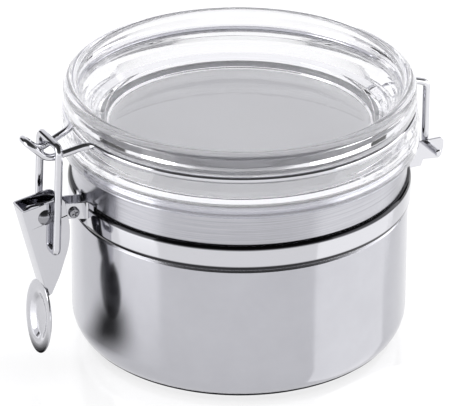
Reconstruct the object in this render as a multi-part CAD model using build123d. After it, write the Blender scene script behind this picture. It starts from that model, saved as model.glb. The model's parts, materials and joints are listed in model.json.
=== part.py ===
from build123d import *
import os
from math import asin, atan2, cos, hypot, radians, sin

# Clamp-lid food canister, in millimetres.
# The origin is the middle of the base, on the table. +Z is up, the latch is at -X, the hinge at +X.

# ---- driving dimensions ----
body_radius = 60.0          # outside of the drawn can
sheet = 0.6                 # can wall
base_corner = 12.5          # big rounding between base and wall
neck_radius = 59.5          # outside of the neck, above the step
neck_start = 53.0           # height where the neck begins
neck_step = 0.8             # height of the small cone down to the body
rim_height = 78.6           # top of the can's hemmed mouth
hem_depth = 3.0             # how far the mouth's fold reaches down

band_bottom = 54.0
band_top = 63.7
band_radius = 61.0          # outside of the neck band
band_edge = 1.2             # rounding of the band's rolled edges
lug_sheet = 0.8             # band ends, bent out as lugs
lug_face = 3.55             # outer face of each lug, from the middle plane
tongue_offset = 1.05        # each lug's middle, where the two run close together

lid_top = 99.3
lid_radius = 63.6           # lower ring of the lid
crown_radius = 62.3         # upper ring of the lid
crown_round = 2.9           # rounding over the top of the upper ring
skirt_bottom = 74.8
skirt_inside = 60.2
flange_under = 80.2         # underside that carries the gasket
floor_height = 81.2         # floor of the stacking recess
floor_radius = 43.7
plug_bottom = 76.8
gasket_gap = 0.3            # gasket to mouth, closed

bail_wire = 2.6             # wire diameters
link_wire = 2.8
bail_ring = 61.3            # radius of the bail's wire line, in the lid's groove
bail_height = 89.6

hinge_x, hinge_z = 70.6, 62.5
hinge_leg_y = 8.0
ear_inside, ear_sheet = 9.8, 0.9
pin_end_y = 18.4

pivot_x, pivot_z = -77.3, 63.3          # lever on the lugs
link_x, link_z = -74.9, 50.3            # link in the lever
bar_x, bar_z = -73.3, 90.4              # the link's top bar
link_leg_y = 8.0
lever_half = 4.7
lever_sheet = 0.8
running = 0.05                          # radial clearance of a turning pin in its hole
screw_x, screw_z, screw_radius = -66.2, 62.4, 1.0
rivet_radius = 1.3

side = Plane.XZ                         # side outlines are drawn as (x, z)


# ---- helpers ----
def turned(*edges):
    """A solid of revolution about the can's axis, from a closed (radius, height) outline."""
    return revolve(side * make_face(list(edges)), Axis.Z)


def plate(outline, half_width, inner=0.0):
    """An (x, z) face as a plate across Y, from inner to half_width on both sides of the middle."""
    face = side * outline
    block = extrude(face, half_width, both=True)
    if inner > 0:
        block -= extrude(face, inner, both=True)
    return block


def rod(radius, x, z, y0, y1):
    """A round bar along Y."""
    return Pos(x, (y0 + y1) / 2, z) * Rot(90, 0, 0) * Cylinder(radius, abs(y1 - y0))


def bent_wire(path, diameter):
    """A round wire along a path of straight runs and arcs."""
    section = Plane(origin=path @ 0, z_dir=path % 0) * Circle(diameter / 2)
    return sweep(section, path=path)


def mirrored(points):
    """Points on both sides of the middle plane: the list, then its mirror image backwards."""
    return points + [(x, -y, z) for x, y, z in reversed(points)]


def strip_outline(line, thickness):
    """The outline of a bent strip of sheet, from its middle line in the XY plane."""
    def normal(a, b):
        run = hypot(b[0] - a[0], b[1] - a[1])
        return ((a[1] - b[1]) / run, (b[0] - a[0]) / run)

    normals = [normal(a, b) for a, b in zip(line, line[1:])]
    normals = [normals[0]] + normals + [normals[-1]]
    left, right = [], []
    for (x, y), (ax, ay), (bx, by) in zip(line, normals, normals[1:]):
        mx, my = ax + bx, ay + by
        reach = thickness / (mx * ax + my * ay) / 2
        left.append((x + mx * reach, y + my * reach))
        right.append((x - mx * reach, y - my * reach))
    return Polyline(*left, *reversed(right), close=True)


# ---- the can ----
def make_can_body():
    inside = neck_radius - sheet
    hem_inside = inside - sheet
    hem_round = (neck_radius - hem_inside) / 2
    arc_out = cos(radians(45)) * base_corner
    arc_in = cos(radians(45)) * (base_corner - sheet)
    flat = body_radius - base_corner
    step_top = neck_start + neck_step
    return turned(
        Line((0, 0), (flat, 0)),
        ThreePointArc((flat, 0), (flat + arc_out, base_corner - arc_out), (body_radius, base_corner)),
        Polyline((body_radius, base_corner), (body_radius, neck_start), (neck_radius, step_top),
                 (neck_radius, rim_height - hem_round)),
        ThreePointArc((neck_radius, rim_height - hem_round),
                      (neck_radius - hem_round, rim_height),
                      (hem_inside, rim_height - hem_round)),
        Polyline((hem_inside, rim_height - hem_round), (hem_inside, rim_height - hem_depth),
                 (inside, rim_height - hem_depth), (inside, step_top),
                 (body_radius - sheet, neck_start), (body_radius - sheet, base_corner)),
        ThreePointArc((body_radius - sheet, base_corner), (flat + arc_in, base_corner - arc_in),
                      (flat, sheet)),
        Polyline((flat, sheet), (0, sheet), (0, 0)),
    )


def make_neck_band():
    """A strap round the neck whose two ends are bent out as lugs and run together as a tongue."""
    section = Polyline((neck_radius, band_bottom), (band_radius, band_bottom),
                       (band_radius, band_top), (neck_radius, band_top), close=True)
    ring = turned(section)
    ring = fillet(ring.edges().filter_by(GeomType.CIRCLE).group_by(SortBy.RADIUS)[-1], band_edge)
    gap = lug_face - lug_sheet
    ring -= Pos(-body_radius, 0, (band_bottom + band_top) / 2) * Box(8, 2 * gap, 20)

    middle = lug_face - lug_sheet / 2
    joggle_x, tongue_x, tongue_end = -69.6, -73.0, -90.0
    tongue_half = 2.9
    strip = [(-band_radius + 0.6, middle), (joggle_x, middle), (tongue_x, tongue_offset),
             (tongue_end, tongue_offset)]
    lug = extrude(make_face(strip_outline(strip, lug_sheet)), 90)
    nose_x = pivot_x - 3.3
    lug_shape = make_face([
        Polyline((nose_x, pivot_z - tongue_half), (joggle_x, pivot_z - tongue_half),
                 (-55, 58.3), (-55, 64.6), (joggle_x, pivot_z + tongue_half),
                 (nose_x, pivot_z + tongue_half)),
        ThreePointArc((nose_x, pivot_z + tongue_half), (nose_x - tongue_half, pivot_z),
                      (nose_x, pivot_z - tongue_half)),
    ])
    lug &= extrude(side * lug_shape, 10, both=True)
    lugs = lug + mirror(lug, Plane.XZ)
    band = ring + lugs
    band -= rod(rivet_radius, pivot_x, pivot_z, -5, 5)
    return band - rod(screw_radius + 0.1, screw_x, screw_z, -5, 5)


def make_clamp_screw():
    """A small cross-recess screw that draws the two lugs together."""
    head_top, shank_end = -lug_face - 1.2, 5.6
    head = rod(screw_radius * 2, screw_x, screw_z, head_top, -lug_face)
    head = fillet(head.edges().group_by(Axis.Y)[0], 0.5)
    blade = Box(2.6, 1.6, 0.5) + Box(0.5, 1.6, 2.6)
    recess = Pos(screw_x, head_top, screw_z) * Rot(0, 20, 0) * blade
    return head + rod(screw_radius, screw_x, screw_z, -lug_face, shank_end) - recess


def make_clamp_nut():
    width, thickness = 3.4, 1.5
    nut = Pos(screw_x, lug_face + thickness / 2, screw_z) * Box(width, thickness, width)
    nut = chamfer(nut.edges().filter_by(Axis.Y), 0.3)
    return nut - rod(screw_radius, screw_x, screw_z, 0, 8)


def make_hinge_bracket():
    """A web that follows the band, with an ear on each side for the bail's pins."""
    ear_face = ear_inside + ear_sheet
    web_bottom, web_top = 54.8, 62.8
    middle_height = (web_bottom + web_top) / 2
    web = turned(Polyline((band_radius, web_bottom), (band_radius + ear_sheet, web_bottom),
                          (band_radius + ear_sheet, web_top), (band_radius, web_top), close=True))
    web &= Pos(body_radius, 0, middle_height) * Box(20, 2 * ear_face, 30)
    ear_shape = make_face(Polyline((58.0, web_bottom), (67.8, web_bottom), (68.4, 57.2), (75.8, 56.4),
                                   (77.2, 64.4), (66.8, 64.6), (64.4, web_top), (58.0, web_top),
                                   close=True))
    ear_shape = fillet(ear_shape.vertices().filter_by_position(Axis.X, 70, 80), 1.6)
    ears = plate(ear_shape, ear_face, ear_inside)
    ears -= Pos(0, 0, middle_height) * Cylinder(band_radius, 30)
    return web + ears - rod(bail_wire / 2 + running, hinge_x, hinge_z, -20, 20)


# ---- the lid ----
def make_lid():
    """Clear moulded lid: crown ring, wire groove, lower ring with a skirt, dished recess and plug."""
    crown_middle = crown_radius - crown_round
    crown_side = lid_top - crown_round
    lean = crown_round * cos(radians(45))
    groove = bail_wire / 2 + 0.1
    groove_deep = bail_ring - groove
    ring_top = bail_height - groove
    ring_bulge = 81.6
    skirt_round = 2.6
    skirt_lean = skirt_round * (1 - sin(radians(45)))
    rim_edge = (crown_middle - 2.3, lid_top - 1.9)
    return turned(
        Line((0, floor_height), (floor_radius, floor_height)),
        ThreePointArc((floor_radius, floor_height), (46.1, 82.7), (47.4, 85.4)),
        Line((47.4, 85.4), (55.2, 95.2)),
        ThreePointArc((55.2, 95.2), (55.9, 96.4), rim_edge),
        ThreePointArc(rim_edge, (crown_middle - 1.1, lid_top - 0.35), (crown_middle, lid_top)),
        ThreePointArc((crown_middle, lid_top), (crown_middle + lean, crown_side + lean),
                      (crown_radius, crown_side)),
        Polyline((crown_radius, crown_side), (crown_radius, bail_height + groove),
                 (bail_ring, bail_height + groove)),
        ThreePointArc((bail_ring, bail_height + groove), (groove_deep, bail_height),
                      (bail_ring, bail_height - groove)),
        Line((bail_ring, ring_top), (bail_ring + 0.2, ring_top)),
        ThreePointArc((bail_ring + 0.2, ring_top), (62.1, 87.8), (62.4, 87.0)),
        ThreePointArc((62.4, 87.0), (63.1, 84.3), (lid_radius, ring_bulge)),
        Line((lid_radius, ring_bulge), (lid_radius, skirt_bottom + skirt_round)),
        ThreePointArc((lid_radius, skirt_bottom + skirt_round),
                      (lid_radius - skirt_lean, skirt_bottom + skirt_lean),
                      (lid_radius - skirt_round, skirt_bottom)),
        Polyline((lid_radius - skirt_round, skirt_bottom), (skirt_inside, skirt_bottom),
                 (skirt_inside, flange_under), (56.0, flange_under), (56.0, 78.6),
                 (54.6, plug_bottom), (51.0, plug_bottom), (49.6, 78.2), (0, 78.2),
                 (0, floor_height)),
    )


def make_gasket():
    """Soft ring on the plug, under the flange, with a small lip toward the mouth."""
    low = rim_height + gasket_gap
    return turned(Polyline((56.0, low), (59.3, low), (59.6, low + 0.5), (59.6, flange_under),
                           (56.0, flange_under), close=True))


def groove_end(side_sign, leg_y, run=5.0):
    """Where the bail's ring ends, and the corner beyond it where the wire turns out at leg_y."""
    angle = asin(leg_y / hypot(bail_ring, run)) + atan2(run, bail_ring)
    end = (side_sign * bail_ring * cos(angle), -bail_ring * sin(angle), bail_height)
    corner = (end[0] + side_sign * run * sin(angle), -leg_y, bail_height)
    return end, corner


def make_bail():
    """One wire: hinge pin, leg, half the groove, catch loop, the other half, leg, pin."""
    hinge_end, hinge_corner = groove_end(1, hinge_leg_y)
    catch_end, catch_corner = groove_end(-1, 7.7)
    valley, nose = (-76.0, -4.3, 85.4), (-82.8, -3.6, 92.0)
    leg = [(hinge_x, -pin_end_y, hinge_z), (hinge_x, -hinge_leg_y, hinge_z),
           (hinge_x, -hinge_leg_y, 86.4), hinge_corner, hinge_end]
    near_leg = FilletPolyline(*leg, radius=[1.7, 2.6, 3.0])
    far_leg = FilletPolyline(*[(x, -y, z) for x, y, z in reversed(leg)], radius=[3.0, 2.6, 1.7])
    near_arc = ThreePointArc(hinge_end, (0, -bail_ring, bail_height), catch_end)
    far_arc = ThreePointArc((catch_end[0], -catch_end[1], bail_height), (0, bail_ring, bail_height),
                            (hinge_end[0], -hinge_end[1], bail_height))
    loop = FilletPolyline(*mirrored([catch_end, catch_corner, valley, nose]),
                          radius=[6.0, 5.0, 3.2, 3.2, 5.0, 6.0])
    pieces = [near_leg, near_arc, loop, far_arc, far_leg]
    return bent_wire(Wire([edge for piece in pieces for edge in piece.edges()]), bail_wire)


# ---- the latch ----
def make_lever():
    """Pressed channel, open toward the can and at the top, that ends in a dished finger tab."""
    top_out, foot = (-86.0, 67.0), (-76.9, 32.0)
    wall_shape = make_face([
        Polyline(foot, top_out, (-72.6, 69.2)),
        ThreePointArc((-72.6, 69.2), (-70.4, 67.4), (-69.4, 64.6)),
        ThreePointArc((-69.4, 64.6), (-67.7, 56.0), (-70.4, 43.8)),
        ThreePointArc((-70.4, 43.8), (-73.2, 37.3), foot),
    ])
    block = extrude(side * wall_shape, lever_half, both=True)
    run = hypot(foot[0] - top_out[0], foot[1] - top_out[1])
    spine_edges = block.edges().filter_by(GeomType.LINE).filter_by(lambda e: abs(e.length - run) < 0.01)
    block = fillet(spine_edges, 1.0)

    down = ((foot[0] - top_out[0]) / run, (foot[1] - top_out[1]) / run)
    inward = (-down[1], down[0])

    def along(point, distance, depth):
        return (point[0] + down[0] * distance + inward[0] * depth,
                point[1] + down[1] * distance + inward[1] * depth)

    hollow = make_face(Polyline(along(foot, -1.2, lever_sheet), along(top_out, -6, lever_sheet),
                                along(top_out, -6, 30), along(foot, -1.2, 30), close=True))
    channel = block - extrude(side * hollow, lever_half - lever_sheet, both=True)

    tab_x, tab_z, tab_half, tab_tall, tab_lean = -79.0, 22.8, 10.4, 14.0, radians(4)
    face = Plane(origin=(tab_x, 0, tab_z), x_dir=(0, 1, 0), z_dir=(cos(tab_lean), 0, -sin(tab_lean)))

    def oval(offset, shrink):
        return face.offset(offset) * Ellipse(tab_half - shrink, tab_tall - shrink)

    tab = extrude(oval(0, 0), 0.9)
    tab = fillet(tab.edges(), 0.35)
    tab += loft([oval(0.5, 2.2), oval(2.3, 5.2)])
    tab -= loft([oval(-0.02, 2.8), oval(1.5, 5.8)])
    lever = channel + tab
    lever -= rod(rivet_radius + running, pivot_x, pivot_z, -8, 8)
    return lever - rod(link_wire / 2 + running, link_x, link_z, -8, 8)


def make_lever_rivet():
    """Rivet with a domed head outside each wall of the lever."""
    head_radius, head_height, start = 2.85, 1.4, lever_half + 0.05
    ball = (head_radius ** 2 + head_height ** 2) / (2 * head_height)
    dome = Pos(pivot_x, start + head_height - ball, pivot_z) * Sphere(ball)
    dome &= Pos(pivot_x, start + 5, pivot_z) * Box(12, 10, 12)
    return rod(rivet_radius, pivot_x, pivot_z, -start, start) + dome + mirror(dome, Plane.XZ)


def make_link():
    """Wire stirrup: pinned in the lever's walls, with a bar that pulls on the catch loop."""
    half = [(link_x, -3.2, link_z), (link_x, -link_leg_y, link_z), (bar_x, -link_leg_y, bar_z)]
    return bent_wire(FilletPolyline(*mirrored(half), radius=[1.8, 2.4, 2.4, 1.8]), link_wire)


parts = {
    "can_body": make_can_body,
    "neck_band": make_neck_band,
    "clamp_screw": make_clamp_screw,
    "clamp_nut": make_clamp_nut,
    "hinge_bracket": make_hinge_bracket,
    "lid": make_lid,
    "lid_gasket": make_gasket,
    "bail_wire": make_bail,
    "latch_lever": make_lever,
    "lever_rivet": make_lever_rivet,
    "link_wire": make_link,
}

os.makedirs("parts", exist_ok=True)
for name, make in parts.items():
    export_step(make(), os.path.join("parts", name + ".step"))
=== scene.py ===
import json
from math import asin, atan2, cos, hypot, pi, radians, sin, sqrt, tan

import bmesh
import bpy
from mathutils import Matrix, Vector


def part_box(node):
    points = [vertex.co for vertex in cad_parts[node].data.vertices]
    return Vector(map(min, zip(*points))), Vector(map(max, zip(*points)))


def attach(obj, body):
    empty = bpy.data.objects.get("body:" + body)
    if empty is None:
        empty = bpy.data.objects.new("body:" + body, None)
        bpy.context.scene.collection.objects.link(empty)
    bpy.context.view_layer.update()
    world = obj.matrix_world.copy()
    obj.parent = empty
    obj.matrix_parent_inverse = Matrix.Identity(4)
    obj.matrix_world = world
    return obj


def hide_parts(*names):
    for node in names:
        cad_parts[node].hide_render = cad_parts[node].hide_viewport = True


# The looks of a clamp-lid food canister. Outlines are in millimetres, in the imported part's frame:
# origin in the middle of the base, +Z up, latch at -X, hinge at +X. Meshes are scaled to metres.

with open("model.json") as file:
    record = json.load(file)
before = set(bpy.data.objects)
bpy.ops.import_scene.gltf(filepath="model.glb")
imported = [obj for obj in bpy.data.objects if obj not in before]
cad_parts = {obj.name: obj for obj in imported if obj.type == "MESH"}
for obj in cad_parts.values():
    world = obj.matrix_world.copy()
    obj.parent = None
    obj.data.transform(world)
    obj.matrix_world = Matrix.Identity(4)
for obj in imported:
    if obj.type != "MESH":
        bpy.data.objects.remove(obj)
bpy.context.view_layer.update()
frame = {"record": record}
scene = bpy.context.scene
MM = 0.001


def high_corner(node):
    """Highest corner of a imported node's box, in millimetres."""
    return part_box(node)[1] / MM


# ---- sizes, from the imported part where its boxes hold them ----
can_high, lid_high, band_high = high_corner("can_body"), high_corner("lid"), high_corner("neck_band")

body_radius = can_high.x
rim_height = can_high.z
lid_radius = lid_high.x
lid_top = lid_high.z
band_radius = band_high.x
neck_radius = 59.5
neck_start, neck_step = 53.0, 0.8
sheet = 0.6
base_corner = 12.5
band_bottom, band_top = 54.0, 63.7
crown_radius = 62.3
bail_wire, link_wire = 2.6, 2.8
bail_ring, bail_height = 61.3, 89.6
hinge_x, hinge_z, hinge_leg_y, pin_end_y = 70.6, 62.5, 8.0, 18.4
pivot_x, pivot_z = -77.3, 63.3
link_x, link_z = -74.9, 50.3
bar_x, bar_z = -73.3, 90.4
link_leg_y = 8.0
lever_half, lever_sheet = 4.7, 0.8
screw_x, screw_z = -66.2, 62.4
lug_face, lug_sheet = 3.55, 0.8


# ---- geometry helpers ----
def rounded(corners, closed=False, steps=8):
    """Points of a line with rounded corners. A corner is its coordinates and then its radius."""
    points = []
    last = len(corners) - 1
    for i, (*place, radius) in enumerate(corners):
        corner = Vector(place)
        if radius == 0 or (not closed and i in (0, last)):
            points.append(corner)
            continue
        back = (Vector(corners[i - 1][:-1]) - corner).normalized()
        ahead = (Vector(corners[0 if i == last else i + 1][:-1]) - corner).normalized()
        half = back.angle(ahead) / 2
        centre = corner + (back + ahead).normalized() * (radius / sin(half))
        start = corner + back * (radius / tan(half)) - centre
        end = corner + ahead * (radius / tan(half)) - centre
        turn = pi - 2 * half
        for k in range(steps + 1):
            t = k / steps
            points.append(centre + (start * sin((1 - t) * turn) + end * sin(t * turn)) / sin(turn))
    return points


def make_piece(name, verts, faces, smooth=35):
    """An object in metres from points in millimetres. Edges of more than smooth degrees stay sharp."""
    mesh = bpy.data.meshes.new(name)
    mesh.from_pydata([Vector(v) * MM for v in verts], [], faces)
    tidy = bmesh.new()
    tidy.from_mesh(mesh)
    bmesh.ops.remove_doubles(tidy, verts=tidy.verts, dist=1e-7)
    bmesh.ops.recalc_face_normals(tidy, faces=tidy.faces)
    tidy.to_mesh(mesh)
    tidy.free()
    mesh.shade_smooth()
    mesh.set_sharp_from_angle(angle=radians(smooth))
    piece = bpy.data.objects.new(name, mesh)
    scene.collection.objects.link(piece)
    return piece


def lathe_mesh(outline, steps=240, place=Matrix.Identity(4)):
    """Points and faces of an outline of (radius, height) points turned about Z, then put in place."""
    verts, faces, rings = [], [], []
    for radius, height in outline:
        count = 1 if radius < 1e-6 else steps
        rings.append(list(range(len(verts), len(verts) + count)))
        for i in range(count):
            turn = 2 * pi * i / steps
            verts.append(place @ Vector((radius * cos(turn), radius * sin(turn), height)))
    for low, high in zip(rings, rings[1:] + rings[:1]):
        if len(low) == 1 and len(high) == 1:
            continue
        for i in range(steps):
            j = (i + 1) % steps
            if len(low) == 1:
                faces.append((low[0], high[j], high[i]))
            elif len(high) == 1:
                faces.append((low[i], low[j], high[0]))
            else:
                faces.append((low[i], low[j], high[j], high[i]))
    return verts, faces


def swept_faces(sections, count):
    """Faces between closed sections of count points each, and a face over each end."""
    faces = []
    for k in range(sections - 1):
        a, b = k * count, (k + 1) * count
        faces += [(a + i, a + (i + 1) % count, b + (i + 1) % count, b + i) for i in range(count)]
    total = sections * count
    return faces + [tuple(range(count)), tuple(range(total - count, total))]


def tube_mesh(path, radius, around=20, end_round=0.4):
    """Points and faces of a round wire along a line, with slightly rounded ends."""
    first, last = (path[0] - path[1]).normalized(), (path[-1] - path[-2]).normalized()
    rings = [(path[0], radius - end_round), (path[0] - first * end_round, radius)]
    rings += [(p, radius) for p in path[1:-1]]
    rings += [(path[-1] - last * end_round, radius), (path[-1], radius - end_round)]
    centres = [centre for centre, _ in rings]
    verts = []
    direction = (centres[1] - centres[0]).normalized()
    across = direction.orthogonal().normalized()
    for k, (centre, size) in enumerate(rings):
        ahead = (centres[min(k + 1, len(rings) - 1)] - centres[max(k - 1, 0)]).normalized()
        across = (direction.rotation_difference(ahead) @ across).normalized()
        direction = ahead
        other = direction.cross(across)
        verts += [centre + (across * cos(2 * pi * i / around) + other * sin(2 * pi * i / around)) * size
                  for i in range(around)]
    return verts, swept_faces(len(rings), around)


def joined(*meshes):
    """Several (points, faces) as one."""
    verts, faces = [], []
    for some_verts, some_faces in meshes:
        shift = len(verts)
        verts += some_verts
        faces += [tuple(i + shift for i in face) for face in some_faces]
    return verts, faces


def grid_mesh(rows):
    """Points and faces of a surface through rows of points, all equally long."""
    width = len(rows[0])
    verts = [p for row in rows for p in row]
    faces = [(r * width + c, r * width + c + 1, (r + 1) * width + c + 1, (r + 1) * width + c)
             for r in range(len(rows) - 1) for c in range(width - 1)]
    return verts, faces


def round_edges(piece, edge):
    """Takes the sharpness off a piece's cut edges."""
    bevel = piece.modifiers.new("edges", "BEVEL")
    bevel.width, bevel.segments, bevel.limit_method = edge * MM, 2, "ANGLE"
    bevel.angle_limit = radians(50)
    bevel.harden_normals = True


def give_thickness(piece, thickness, edge):
    """Turns a surface into sheet metal with slightly rounded cut edges."""
    solid = piece.modifiers.new("sheet", "SOLIDIFY")
    solid.thickness, solid.offset, solid.use_even_offset = thickness * MM, 0, True
    round_edges(piece, edge)


def level(x, stations):
    """Height at x on a line of (x, height) stations."""
    for (x0, z0), (x1, z1) in zip(stations, stations[1:]):
        if x0 <= x <= x1:
            return z0 + (z1 - z0) * (x - x0) / (x1 - x0)
    return stations[0][1] if x < stations[0][0] else stations[-1][1]


def upright_strip(plan, lower, upper, rows=3):
    """A surface that stands on a line in plan, between two height lines given by x."""
    columns = []
    for p in plan:
        low, high = level(p.x, lower), level(p.x, upper)
        columns.append([Vector((p.x, p.y, low + (high - low) * k / rows)) for k in range(rows + 1)])
    return grid_mesh(columns)


# ---- materials ----
def new_material(name):
    """A material, its node tree and its shader."""
    material = bpy.data.materials.new(name)
    material.use_nodes = True
    tree = material.node_tree
    return material, tree, tree.nodes["Principled BSDF"]


def add(tree, kind, **values):
    """A new node with its settings."""
    node = tree.nodes.new(kind)
    for key, value in values.items():
        setattr(node, key, value)
    return node


def feed(tree, socket, value):
    """Gives a socket a number, a colour or another node's output."""
    if isinstance(value, bpy.types.NodeSocket):
        tree.links.new(value, socket)
    else:
        socket.default_value = (*value, 1) if isinstance(value, tuple) else value


def maths(tree, operation, *inputs):
    """Arithmetic on numbers or other nodes' outputs."""
    node = add(tree, "ShaderNodeMath", operation=operation)
    for socket, value in zip(node.inputs, inputs):
        feed(tree, socket, value)
    return node.outputs[0]


def distance(tree, across, along):
    """Straight distance over two steps at right angles."""
    squares = [maths(tree, "MULTIPLY", step, step) for step in (across, along)]
    return maths(tree, "SQRT", maths(tree, "ADD", *squares))


def mix(tree, share, first, second, blend="MIX"):
    """The first colour where share is 0 and the second where it is 1."""
    node = add(tree, "ShaderNodeMix", data_type="RGBA", blend_type=blend)
    for socket, value in (("Factor", share), ("A", first), ("B", second)):
        feed(tree, node.inputs[socket], value)
    return node.outputs["Result"]


def object_place(tree):
    """The object's own coordinates, and their X, Y and Z apart."""
    place = add(tree, "ShaderNodeTexCoord")
    split = add(tree, "ShaderNodeSeparateXYZ")
    tree.links.new(place.outputs["Object"], split.inputs[0])
    return place.outputs["Object"], split.outputs


def noise(tree, vector, scale, detail=4.0, roughness=0.55):
    """A cloudy pattern, from 0 to 1."""
    node = add(tree, "ShaderNodeTexNoise")
    node.inputs["Scale"].default_value = scale
    node.inputs["Detail"].default_value = detail
    node.inputs["Roughness"].default_value = roughness
    tree.links.new(vector, node.inputs["Vector"])
    return node.outputs["Fac"]


def spread(tree, value, low, high):
    """low where the value is 0, and high where it is 1."""
    node = add(tree, "ShaderNodeMapRange")
    node.inputs["To Min"].default_value = low
    node.inputs["To Max"].default_value = high
    tree.links.new(value, node.inputs["Value"])
    return node.outputs["Result"]


def spread_between(tree, value, nought, one):
    """0 at the value nought, 1 at the value one, and smooth between."""
    node = add(tree, "ShaderNodeMapRange", interpolation_type="SMOOTHSTEP")
    node.inputs["From Min"].default_value = nought
    node.inputs["From Max"].default_value = one
    tree.links.new(value, node.inputs["Value"])
    return node.outputs["Result"]


def bump(tree, height, strength, depth):
    """Surface directions for a relief of so many metres."""
    node = add(tree, "ShaderNodeBump")
    node.inputs["Strength"].default_value = strength
    node.inputs["Distance"].default_value = depth
    tree.links.new(height, node.inputs["Height"])
    return node.outputs["Normal"]


def round_axis(tree, x, y, z, turn_scale, height_scale, radius=None):
    """Coordinates for marks that run round the axis. They also follow the radius where it is given."""
    around = add(tree, "ShaderNodeCombineXYZ")
    feed(tree, around.inputs[0], maths(tree, "MULTIPLY", maths(tree, "ARCTAN2", y, x), turn_scale))
    if radius is not None:
        feed(tree, around.inputs[1], maths(tree, "MULTIPLY", radius, height_scale))
    feed(tree, around.inputs[2], maths(tree, "MULTIPLY", z, height_scale))
    return around.outputs[0]


def inside_can(tree, radius, z, neck):
    """1 on the can's inner faces, which lie within the middle of its sheet."""
    half_sheet, corner = sheet / 2, base_corner - sheet
    corner_out = maths(tree, "MAXIMUM", maths(tree, "SUBTRACT", radius, (body_radius - corner) * MM), 0.0)
    corner_down = maths(tree, "MAXIMUM", maths(tree, "SUBTRACT", corner * MM, z), 0.0)
    from_corner = distance(tree, corner_out, corner_down)
    wall = maths(tree, "MULTIPLY_ADD", neck, (neck_radius - body_radius) * MM,
                 (body_radius - half_sheet) * MM)
    return maths(tree, "MULTIPLY", maths(tree, "LESS_THAN", radius, wall),
                 maths(tree, "LESS_THAN", from_corner, (corner - half_sheet) * MM))


def steel_can():
    """Drawn stainless sheet: nearly a mirror, with fine turning marks that are coarser round the neck,
    and pale satin inside."""
    outer, streaked, satin = (0.50, 0.50, 0.535), (0.36, 0.36, 0.385), (0.95, 0.95, 0.96)
    material, tree, shader = new_material("steel_can")
    place, (x, y, z) = object_place(tree)
    marks = noise(tree, round_axis(tree, x, y, z, 1.2, 2600.0), 1.0, 5.0, 0.6)
    neck = maths(tree, "GREATER_THAN", z, neck_start * MM)
    within = inside_can(tree, distance(tree, x, y), z, neck)

    # the marks are four times as deep round the neck, and the sheet is rougher there and inside
    relief = maths(tree, "MULTIPLY", marks, maths(tree, "MULTIPLY_ADD", neck, 0.75, 0.25))
    feed(tree, shader.inputs["Normal"], bump(tree, relief, 0.2, 0.0001))
    rough = maths(tree, "MULTIPLY_ADD", neck, 0.09, 0.11)
    rough = maths(tree, "MULTIPLY_ADD", within, 0.3, rough)
    feed(tree, shader.inputs["Roughness"], maths(tree, "MULTIPLY_ADD", marks, 0.06, rough))

    streaks = maths(tree, "MULTIPLY", neck, maths(tree, "MULTIPLY_ADD", marks, 2.4, -0.95))
    colour = mix(tree, within, mix(tree, streaks, outer, streaked), satin)
    patches = spread(tree, noise(tree, place, 45.0, 6.0, 0.7), 0.90, 1.08)
    feed(tree, shader.inputs["Base Color"], mix(tree, 1.0, colour, patches, "MULTIPLY"))
    feed(tree, shader.inputs["Metallic"], maths(tree, "MULTIPLY_ADD", within, -0.75, 1.0))
    return material


def polished(name, colour, low=0.04, high=0.11):
    """Polished metal with faint rubbed patches, its roughness between low and high."""
    material, tree, shader = new_material(name)
    place, _ = object_place(tree)
    feed(tree, shader.inputs["Roughness"], spread(tree, noise(tree, place, 260.0), low, high))
    feed(tree, shader.inputs["Base Color"], colour)
    feed(tree, shader.inputs["Metallic"], 1.0)
    return material, tree, shader


def lever_steel():
    """Polished, with painted shade on the faces that look toward the can when the lever is shut: their base
    colour is near black.
    """
    outside, inside = (0.58, 0.58, 0.61), (0.07, 0.07, 0.075)
    material, tree, shader = polished("lever_steel", outside)
    facing = add(tree, "ShaderNodeSeparateXYZ")
    feed(tree, facing.inputs[0], add(tree, "ShaderNodeTexCoord").outputs["Normal"])
    # faces turned toward +X get the near-black colour: painted shade, not a duller finish
    inward = spread_between(tree, facing.outputs[0], 0.5, 0.7)
    feed(tree, shader.inputs["Base Color"], mix(tree, inward, outside, inside))
    return material


def strap_steel():
    """The polished strap, with painted shade and painted dark reflections: a near-black base colour along
    its edges where they roll in to the neck.
    """
    face, painted_edge_shade = (0.60, 0.60, 0.63), (0.03, 0.03, 0.033)
    lower, upper, fade = band_bottom + 1.6, band_top - 1.3, 0.6
    material, tree, shader = polished("strap_steel", face)
    _, (_, _, z) = object_place(tree)
    # the base colour turns near black in a band at the top and bottom edges: painted shade and painted dark
    # reflections, not a finish of the steel
    above_lower = spread_between(tree, z, lower * MM, (lower + fade) * MM)
    below_upper = spread_between(tree, z, upper * MM, (upper - fade) * MM)
    free_of_painted_shade = maths(tree, "MULTIPLY", above_lower, below_upper)
    feed(tree, shader.inputs["Base Color"], mix(tree, free_of_painted_shade, painted_edge_shade, face))
    return material


def clear_acrylic():
    """Moulded acrylic with very slight flow ripples round the axis, hazy under the floor of its recess."""
    haze_radius, haze_top = 49.0, 78.4
    material, tree, shader = new_material("clear_acrylic")
    _, (x, y, z) = object_place(tree)
    radius = distance(tree, x, y)
    ripples = noise(tree, round_axis(tree, x, y, z, 2.0, 900.0, radius), 1.0, 2.0)
    feed(tree, shader.inputs["Normal"], bump(tree, ripples, 0.05, 0.0002))
    hazy = maths(tree, "MULTIPLY", maths(tree, "LESS_THAN", radius, haze_radius * MM),
                 maths(tree, "LESS_THAN", z, haze_top * MM))
    feed(tree, shader.inputs["Roughness"], maths(tree, "MULTIPLY_ADD", hazy, 0.25, 0.01))
    feed(tree, shader.inputs["Transmission Weight"], maths(tree, "MULTIPLY_ADD", hazy, -0.8, 1.0))
    feed(tree, shader.inputs["Base Color"], (0.985, 0.985, 0.995))
    feed(tree, shader.inputs["IOR"], 1.49)
    return material


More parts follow.
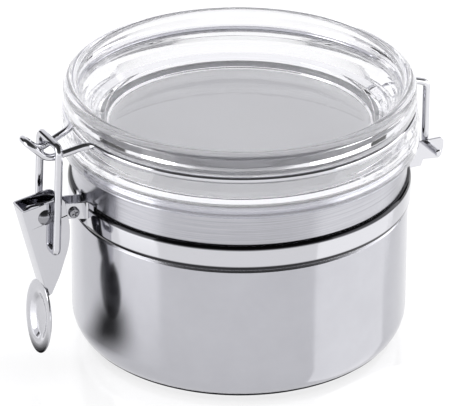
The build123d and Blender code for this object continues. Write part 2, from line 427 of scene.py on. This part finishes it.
def silicone():
    """Milky moulded rubber, a little rough."""
    material, tree, shader = new_material("silicone")
    place, _ = object_place(tree)
    feed(tree, shader.inputs["Roughness"], spread(tree, noise(tree, place, 500.0), 0.35, 0.5))
    feed(tree, shader.inputs["Base Color"], (0.8, 0.8, 0.8))
    feed(tree, shader.inputs["Transmission Weight"], 0.3)
    return material


STEEL_CAN = steel_can()
BRIGHT = polished("bright_steel", (0.62, 0.62, 0.65))[0]
# rougher steel for the screw head and the rivet; its dark base colour is a painted dark reflection
DULL_PAINTED_DARK = polished("dull_steel_painted_dark", (0.30, 0.30, 0.32), 0.10, 0.20)[0]
STRAP = strap_steel()
LEVER = lever_steel()
ACRYLIC = clear_acrylic()
SILICONE = silicone()

behaviour = frame["record"]["behaviour"]
body_of = {node: body for body, nodes in behaviour["bodies"].items() for node in nodes}


def stand_for(piece, node, material):
    """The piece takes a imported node's place: its body, and the slot of its finish."""
    piece.data.materials.append(material)
    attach(piece, body_of[node])
    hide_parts(node)


# ---- the can ----
def build_can():
    """One sheet drawn to a can: recessed foot, rounded base, a step in to the neck, and a hemmed rim."""
    inside = neck_radius - sheet
    hem = inside - sheet
    step_top = neck_start + neck_step
    foot, hem_bottom = 0.9, rim_height - 3
    outline = rounded([
        (0, foot, 0), (46.0, foot, 0.8), (47.2, 0, 0.8), (body_radius, 0, base_corner - sheet),
        (body_radius, neck_start, 0.35), (neck_radius, step_top, 0.35),
        (neck_radius, rim_height, 0.58), (hem, rim_height, 0.58), (hem, hem_bottom, 0.2),
        (inside, hem_bottom, 0), (inside, step_top, 0.3), (body_radius - sheet, neck_start, 0.3),
        (body_radius - sheet, sheet, base_corner - 2 * sheet), (47.0, sheet, 0.8),
        (45.8, foot + sheet, 0.8), (0, foot + sheet, 0),
    ], closed=True, steps=10)
    can = make_piece("can", *lathe_mesh(outline), smooth=50)
    stand_for(can, "can_body", STEEL_CAN)


def build_band():
    """Strap with rolled edges round the neck, and its two ends bent out as lugs."""
    thick = band_radius - neck_radius
    roll_out, roll_up = thick - 0.1, 2.1
    roll = [(band_radius - roll_out * (1 - cos(radians(a))), roll_up * (1 - sin(radians(a))))
            for a in range(0, 91, 10)]
    section = ([(neck_radius, band_bottom)] + [(r, band_bottom + up) for r, up in reversed(roll)]
               + [(r, band_top - up) for r, up in roll] + [(neck_radius, band_top)])
    middle = lug_face - lug_sheet / 2
    gap = asin(middle / body_radius)
    steps = 200
    verts = []
    for k in range(steps + 1):
        turn = pi + gap + (2 * pi - 2 * gap) * k / steps
        verts += [Vector((r * cos(turn), r * sin(turn), z)) for r, z in section]
    strap = make_piece("neck_strap", verts, swept_faces(steps + 1, len(section)), smooth=40)
    stand_for(strap, "neck_band", STRAP)

    tongue_y, nose_x, half, spread_x = 1.05, pivot_x - 3.3, 2.9, -69.6
    ring, tail_y, tail_x = neck_radius + thick / 2, 7.0, -60.5
    turns = [radians(90 - 15 * k) for k in range(7)]
    far = [Vector((nose_x - half * sin(turn), tongue_y)) for turn in turns[:-1]] + rounded([
        (nose_x, tongue_y, 0), (-73.0, tongue_y, 1.5), (spread_x, middle, 1.5), (-ring, middle, 1.3),
        (-sqrt(ring ** 2 - tail_y ** 2), tail_y, 0)], steps=6)
    near = [Vector((p.x, -p.y)) for p in far]
    lower = [(nose_x - half * sin(turn), pivot_z - half * cos(turn)) for turn in turns]
    lower += [(spread_x, pivot_z - half), (tail_x, 58.6)]
    upper = [(x, 2 * pivot_z - z) for x, z in lower[:-1]] + [(tail_x, 65.0)]
    lugs = make_piece("band_lugs", *joined(*(upright_strip(plan, lower, upper) for plan in (far, near))))
    give_thickness(lugs, lug_sheet, 0.15)
    lugs.data.materials.append(BRIGHT)
    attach(lugs, body_of["neck_band"])


def build_clamp_screw():
    """Pan head with a cross recess, its shank, and the square nut on the far lug."""
    out = Matrix.Translation((screw_x, -lug_face, screw_z)) @ Matrix.Rotation(pi / 2, 4, "X")
    head_top, slot_long, slot_wide, shank_end = 1.2, 2.4, 0.5, -9.15
    head = rounded([(0, 0, 0), (2.0, 0, 0.1), (2.0, head_top, 0.7), (0, head_top, 0)])
    shank = rounded([(0, shank_end, 0), (1.0, shank_end, 0.2), (1.0, 0.1, 0), (0, 0.1, 0)])
    screw = make_piece("clamp_screw_bright", *lathe_mesh(head, 48, out))
    cross = bmesh.new()
    for size in ((slot_long, slot_wide, 1.2), (slot_wide, slot_long, 1.2)):
        bmesh.ops.create_cube(cross, size=1, matrix=out @ Matrix.Translation((0, 0, head_top))
                              @ Matrix.Rotation(radians(20), 4, "Z") @ Matrix.Diagonal((*size, 1)))
    cross.transform(Matrix.Scale(MM, 4))
    mesh = bpy.data.meshes.new("cross")
    cross.to_mesh(mesh)
    cross.free()
    cutter = bpy.data.objects.new("cross", mesh)
    scene.collection.objects.link(cutter)
    cut = screw.modifiers.new("recess", "BOOLEAN")
    cut.operation, cut.object, cut.solver, cut.use_self = "DIFFERENCE", cutter, "EXACT", True
    bpy.context.view_layer.update()
    carved = bpy.data.meshes.new_from_object(screw.evaluated_get(bpy.context.evaluated_depsgraph_get()))
    screw.modifiers.clear()
    screw.data = carved
    carved.shade_smooth()
    carved.set_sharp_from_angle(angle=radians(35))
    bpy.data.objects.remove(cutter)
    stand_for(screw, "clamp_screw", DULL_PAINTED_DARK)
    rod = make_piece("clamp_shank", *lathe_mesh(shank, 32, out))
    rod.data.materials.append(BRIGHT)
    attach(rod, body_of["clamp_screw"])

    width, thickness = 3.4, 1.5
    side = width / 2
    base = rounded([(-side, -side, 0.3), (side, -side, 0.3), (side, side, 0.3), (-side, side, 0.3)],
                   closed=True, steps=3)
    middle = (screw_x, lug_face + thickness / 2, screw_z)
    back = Matrix.Translation(middle) @ Matrix.Rotation(-pi / 2, 4, "X")
    verts = [back @ Vector((p.x, p.y, z)) for z in (-thickness / 2, thickness / 2) for p in base]
    nut = make_piece("clamp_nut_square", verts, swept_faces(2, len(base)))
    stand_for(nut, "clamp_nut", BRIGHT)


def build_bracket():
    """Bent sheet: a web that follows the band, and two ears pierced by the bail's pins."""
    thick = 0.9
    ring, ear_y = band_radius + thick / 2, 10.25
    bend_x = sqrt(ring ** 2 - ear_y ** 2)
    end_x = high_corner("hinge_bracket").x - 0.05
    web = [(ring * cos(radians(a)), ring * sin(radians(a)), 0) for a in range(-6, 7, 2)]
    plan = rounded([(end_x, -ear_y, 0), (bend_x, -ear_y, 0.6)] + web
                   + [(bend_x, ear_y, 0.6), (end_x, ear_y, 0)], steps=4)
    lower = [(60.0, 54.8), (67.8, 54.8), (68.5, 57.2), (75.0, 56.5), (76.0, 57.4), (end_x, 61.0)]
    upper = [(60.0, 62.8), (64.4, 62.8), (66.8, 64.6), (75.8, 64.5), (end_x, 63.2)]
    dense, spacing = [], 0.5
    for a, b in zip(plan, plan[1:]):
        parts = max(1, round((b - a).length / spacing))
        dense += [a.lerp(b, k / parts) for k in range(parts)]
    bracket = make_piece("hinge_plate", *upright_strip(dense + [plan[-1]], lower, upper))
    give_thickness(bracket, thick, 0.15)
    stand_for(bracket, "hinge_bracket", BRIGHT)


# ---- the lid ----
def build_lid():
    """Thick clear moulding: a recess in the top, a groove for the bail, and a lower ring over the rim."""
    groove = bail_wire / 2 + 0.1
    groove_floor, floor_top, ring_bottom = bail_ring - 1.4, 81.2, 74.8
    outline = rounded([
        (0, floor_top, 0), (46.3, floor_top, 3.2), (47.6, 85.6, 2.5), (55.5, 95.6, 1.6), (57.2, 97.2, 0.5),
        (57.9, lid_top, 2.0), (crown_radius, lid_top, 2.9), (crown_radius, bail_height + groove, 0.25),
        (groove_floor, bail_height + groove, 1.3), (groove_floor, bail_height - groove, 1.3),
        (61.9, bail_height - groove, 0.5), (63.0, 85.6, 2.5), (lid_radius, 82.0, 2.5),
        (lid_radius, ring_bottom, 2.6), (60.2, ring_bottom, 0.3), (60.2, 80.2, 0.3), (56.0, 80.2, 0.1),
        (56.0, 78.4, 0.5), (54.6, 76.8, 0.5), (51.0, 76.8, 0.5), (49.6, 78.2, 0.5), (0, 78.2, 0),
    ], closed=True, steps=8)
    lid = make_piece("clear_lid", *lathe_mesh(outline), smooth=60)
    stand_for(lid, "lid", ACRYLIC)


def build_gasket():
    """The seal under the lid's step."""
    low, high, inner = 78.95, 80.15, 56.05
    outline = rounded([(inner, low, 0.2), (59.4, low, 0.3), (59.55, high, 0.2), (inner, high, 0.2)],
                      closed=True, steps=4)
    gasket = make_piece("seal_ring", *lathe_mesh(outline))
    stand_for(gasket, "lid_gasket", SILICONE)


def groove_end(side, leg_y, run=5.0):
    """Where the bail's ring ends, and the corner beyond it where the wire turns out at leg_y."""
    angle = asin(leg_y / hypot(bail_ring, run)) + atan2(run, bail_ring)
    end = (side * bail_ring * cos(angle), -bail_ring * sin(angle), bail_height)
    return end, (end[0] + side * run * sin(angle), -leg_y, bail_height)


def build_bail():
    """One wire: hinge pin, leg, half the groove, catch loop, and the same again on the far side."""
    hinge_end, hinge_corner = groove_end(1, hinge_leg_y)
    catch_end, catch_corner = groove_end(-1, 7.7)
    valley, nose = (-76.0, -4.3, 85.4), (-82.8, -3.6, 92.0)
    leg = rounded([
        (hinge_x, -pin_end_y, hinge_z, 0), (hinge_x, -hinge_leg_y, hinge_z, 1.7),
        (hinge_x, -hinge_leg_y, 86.4, 2.6), (*hinge_corner, 3.0), (*hinge_end, 0)])
    from_turn, to_turn = atan2(hinge_end[1], hinge_end[0]), atan2(catch_end[1], catch_end[0])
    arc = [Vector((bail_ring * cos(a), bail_ring * sin(a), bail_height))
           for a in (from_turn + (to_turn - from_turn) * k / 90 for k in range(1, 90))]
    half_loop = [(*catch_end, 0), (*catch_corner, 6.0), (*valley, 5.0), (*nose, 3.2)]
    loop = rounded(half_loop + [(x, -y, z, r) for x, y, z, r in reversed(half_loop)])
    far = [Vector((p.x, -p.y, p.z)) for p in reversed(leg + arc)]
    bail = make_piece("lid_bail", *tube_mesh(leg + arc + loop + far, bail_wire / 2))
    stand_for(bail, "bail_wire", BRIGHT)


# ---- the latch ----
def build_lever():
    """Channel with tapering walls that meet at a foot, and a dished oval finger tab."""
    top_out, foot = Vector((-86.0, 67.0)), Vector((-76.9, 32.0))
    front = rounded([
        (-72.6, 69.2, 0), (-69.9, 68.6, 2.6), (-69.2, 63.0, 14.0), (-67.0, 55.0, 26.0), (-72.3, 39.5, 10.0),
        (-75.4, 33.0, 0)], steps=10)
    reach = [0.0]
    for a, b in zip(front, front[1:]):
        reach.append(reach[-1] + (b - a).length)
    inner = lever_half - lever_sheet
    verts, section = [], []
    for point, run in zip(front, reach):
        spine = top_out.lerp(foot, run / reach[-1])
        inward = (point - spine).normalized()
        depth = (point - spine).length
        section = rounded([
            (depth, -lever_half, 0), (0, -lever_half, 1.2), (0, lever_half, 1.2), (depth, lever_half, 0),
            (depth, inner, 0), (lever_sheet, inner, 0.5), (lever_sheet, -inner, 0.5), (depth, -inner, 0)],
            closed=True, steps=6)
        for d, y in section:
            place = spine + inward * d
            verts.append(Vector((place.x, y, place.y)))
    channel = verts, swept_faces(len(front), len(section))

    tab_x, tab_z, tab_half, tab_tall, lean = -79.0, 22.8, 10.4, 14.0, radians(4)
    up = Vector((sin(lean), 0, cos(lean)))
    out = Vector((-cos(lean), 0, sin(lean)))
    # share of the oval's size, and how far out of its plane, in millimetres
    dish = [(0.0, -1.9), (0.22, -1.9), (0.42, -1.75), (0.52, -1.2), (0.62, -0.5), (0.70, -0.12),
            (0.78, 0.0), (0.94, 0.0), (0.985, -0.12), (1.0, -0.4), (0.985, -0.78), (0.94, -0.9),
            (0.86, -0.9), (0.76, -1.1), (0.66, -1.5), (0.56, -2.1), (0.44, -2.6), (0.22, -2.75),
            (0.0, -2.75)]
    around = 72
    centre = Vector((tab_x, 0, tab_z))
    disc, rings = [], []
    for share, depth in dish:
        width = 1 if share == 0 else around
        rings.append(list(range(len(disc), len(disc) + width)))
        disc += [centre + out * depth + Vector((0, 1, 0)) * (share * tab_half * cos(2 * pi * i / around))
                 + up * (share * tab_tall * sin(2 * pi * i / around)) for i in range(width)]
    disc_faces = []
    for low, high in zip(rings, rings[1:]):
        for i in range(around):
            j = (i + 1) % around
            if len(low) == 1:
                disc_faces.append((low[0], high[i], high[j]))
            elif len(high) == 1:
                disc_faces.append((low[i], high[0], low[j]))
            else:
                disc_faces.append((low[i], high[i], high[j], low[j]))
    lever = make_piece("clamp_lever", *joined(channel, (disc, disc_faces)), smooth=45)
    round_edges(lever, 0.15)
    stand_for(lever, "latch_lever", LEVER)


def build_rivet():
    """Domed heads outside the lever's walls, on a pin through the tongue."""
    radius, height, start = 2.85, 1.4, lever_half + 0.05
    ball = (radius ** 2 + height ** 2) / (2 * height)
    edge = radius - 0.1
    dome = [(0, height)] + [(ball * sin(radians(a)), height - ball + ball * cos(radians(a)))
                            for a in range(5, 60, 5) if ball * sin(radians(a)) < edge]
    dome += [(radius, 0.12), (edge, 0), (0, 0)]
    pin = [(0, -start), (1.3, -start), (1.3, start), (0, start)]
    heads = []
    for turn, side in ((pi / 2, -1), (-pi / 2, 1)):
        place = Matrix.Translation((pivot_x, side * start, pivot_z)) @ Matrix.Rotation(turn, 4, "X")
        heads.append(lathe_mesh(dome, 48, place))
    middle = Matrix.Translation((pivot_x, 0, pivot_z)) @ Matrix.Rotation(pi / 2, 4, "X")
    rivet = make_piece("pivot_rivet", *joined(*heads, lathe_mesh(pin, 32, middle)))
    stand_for(rivet, "lever_rivet", DULL_PAINTED_DARK)


def build_link():
    """Wire from the lever up to the bar that hooks over the bail's loop."""
    half = [(link_x, -3.2, link_z, 0), (link_x, -link_leg_y, link_z, 1.8), (bar_x, -link_leg_y, bar_z, 2.4)]
    path = rounded(half + [(x, -y, z, r) for x, y, z, r in reversed(half)])
    link = make_piece("clamp_link", *tube_mesh(path, link_wire / 2))
    stand_for(link, "link_wire", BRIGHT)


build_can()
build_band()
build_clamp_screw()
build_bracket()
build_lid()
build_gasket()
build_bail()
build_lever()
build_rivet()
build_link()


# ---- floor, light and camera ----
def plain_material(name, grey, strength=0.0, roughness=0.9):
    """One grey all over, which glows where it has a strength."""
    material, tree, shader = new_material(name)
    feed(tree, shader.inputs["Base Color"], (grey, grey, grey))
    feed(tree, shader.inputs["Roughness"], roughness)
    if strength:
        feed(tree, shader.inputs["Emission Color"], (grey, grey, grey))
        feed(tree, shader.inputs["Emission Strength"], strength)
    return material


def soft_black(edge):
    """Black card that fades out toward its edges, over a share of its width."""
    material, tree, shader = new_material("soft_black_card")
    feed(tree, shader.inputs["Base Color"], (0.004, 0.004, 0.004))
    split = add(tree, "ShaderNodeSeparateXYZ")
    feed(tree, split.inputs[0], add(tree, "ShaderNodeUVMap").outputs[0])
    opaque = 1.0
    for share in split.outputs[:2]:
        fade = maths(tree, "MULTIPLY", spread_between(tree, share, 0.0, edge),
                     spread_between(tree, share, 1.0, 1 - edge))
        opaque = maths(tree, "MULTIPLY", opaque, fade)
    feed(tree, shader.inputs["Alpha"], opaque)
    return material


AZIMUTH, ELEVATION, ROLL = radians(-26.5), radians(26.8), radians(0.3)
toward_camera = Vector((sin(AZIMUTH), -cos(AZIMUTH), 0))
toward_right = Vector((cos(AZIMUTH), sin(AZIMUTH), 0))


def flat_card(name, corners, material):
    """A flat stage piece through corners given as (toward the camera, to the right, up), in metres."""
    mesh = bpy.data.meshes.new(name)
    mesh.from_pydata([toward_camera * f + toward_right * r + Vector((0, 0, z)) for f, r, z in corners], [],
                     [tuple(range(len(corners)))])
    mesh.materials.append(material)
    spot = mesh.uv_layers.new(name="card")
    for loop, corner in zip(spot.data, ((0, 0), (1, 0), (1, 1), (0, 1))):
        loop.uv = corner
    card = bpy.data.objects.new(name, mesh)
    scene.collection.objects.link(card)
    return card


def mirrored_card(name, corners, material, through_lid=False):
    """A card that shows only in the metal's reflections and, where asked, through the lid."""
    card = flat_card(name, corners, material)
    card.visible_camera = False
    card.visible_diffuse = False
    card.visible_transmission = through_lid
    card.visible_shadow = False


def lying(points, height=0.0):
    return [(forward, side, height) for forward, side in points]


def standing(left, right, height):
    return [(*left, 0), (*right, 0), (*right, height), (*left, height)]


def square(forward, side, half):
    return [(forward - half, side - half), (forward + half, side - half),
            (forward + half, side + half), (forward - half, side + half)]


# The cards stand for what a room puts in the steel: dark things beside and above the can, a bright
# floor at the right, and the shade under it. Cards on the floor differ in height, so none hides another.
GLOW_HEIGHT, BASE_SHADE_HEIGHT, LEFT_SHADE_HEIGHT, CEILING = 0.0004, 0.0007, 0.0008, 0.5
flat_card("floor", lying(square(0, 0, 5)),
          plain_material("floor_paper", 0.30, strength=2.4, roughness=0.12))
black = soft_black(0.12)
mirrored_card("left_shade", lying(square(0.033, -0.079, 0.03), LEFT_SHADE_HEIGHT), soft_black(0.45))
mirrored_card("right_glow", lying([(0.0536, 0.0269), (0.354, 0.427), (-0.204, 0.493), (0.0309, 0.0514)],
                                  GLOW_HEIGHT), plain_material("glow", 0.02, strength=63.0))
base_shade = [(0.0555 * cos(pi * k / 24), 0.0555 * sin(pi * k / 24)) for k in range(48)]
mirrored_card("under_shade", lying(base_shade, BASE_SHADE_HEIGHT), plain_material("dark_base", 0.02))
mirrored_card("left_flag", standing((-0.17, -0.98), (-0.71, -0.71), 0.7), black, through_lid=True)
mirrored_card("right_flag", standing((-0.50, 0.87), (-0.80, 0.60), 0.5), black, through_lid=True)
mirrored_card("dark_ceiling", lying([(-0.65, -2.6), (3.3, -2.6), (3.3, 2.6), (-0.65, 2.6)], CEILING), black)

world = bpy.data.worlds.new("studio")
scene.world = world
world.use_nodes = True
background = world.node_tree.nodes["Background"]
background.inputs["Color"].default_value = (0.97, 0.97, 1.0, 1)
background.inputs["Strength"].default_value = 1.0


def panel_light(name, azimuth, distance, size, middle_height, radiance):
    """A standing soft panel that faces the object, so many degrees round from the camera."""
    turn = radians(azimuth)
    place = (toward_camera * cos(turn) + toward_right * sin(turn)) * distance
    data = bpy.data.lights.new(name, "AREA")
    data.shape, data.size, data.size_y = "RECTANGLE", size[0], size[1]
    data.energy = radiance * pi * size[0] * size[1]
    light = bpy.data.objects.new(name, data)
    light.location = place + Vector((0, 0, middle_height))
    light.rotation_euler = place.to_track_quat("Z", "Y").to_euler()
    scene.collection.objects.link(light)
    light.visible_camera = False


panel_light("left_panel", -69.5, 0.9, (0.5, 0.9), 0.46, 2.7)
panel_light("right_panel", 100, 1.2, (2.0, 0.6), 0.31, 1.7)

# the camera's place from a point on the object's axis, in millimetres
DISTANCE, SIDE, UP = 1500.0, -3.28, -0.2
back = Vector((sin(AZIMUTH) * cos(ELEVATION), -cos(AZIMUTH) * cos(ELEVATION), sin(ELEVATION)))
above = back.cross(toward_right)
camera = bpy.data.objects.new("camera", bpy.data.cameras.new("camera"))
camera.data.lens, camera.data.sensor_width = 329.5, 36.0
camera.data.clip_end = 20
middle = Vector((0, 0, 50))
camera.location = (middle + back * DISTANCE + toward_right * SIDE + above * UP) * MM
camera.rotation_mode = "QUATERNION"
facing = back.to_track_quat("Z", "Y").to_matrix()
camera.rotation_quaternion = (facing @ Matrix.Rotation(ROLL, 3, "Z")).to_quaternion()
scene.collection.objects.link(camera)
scene.camera = camera

scene.view_settings.view_transform = "Standard"
scene.cycles.use_denoising = True
# the lid's clear faces lie one behind another, and light needs many bounces to get through them
scene.cycles.max_bounces = 32
scene.cycles.transmission_bounces = 24
scene.cycles.glossy_bounces = 12
scene.cycles.diffuse_bounces = 12
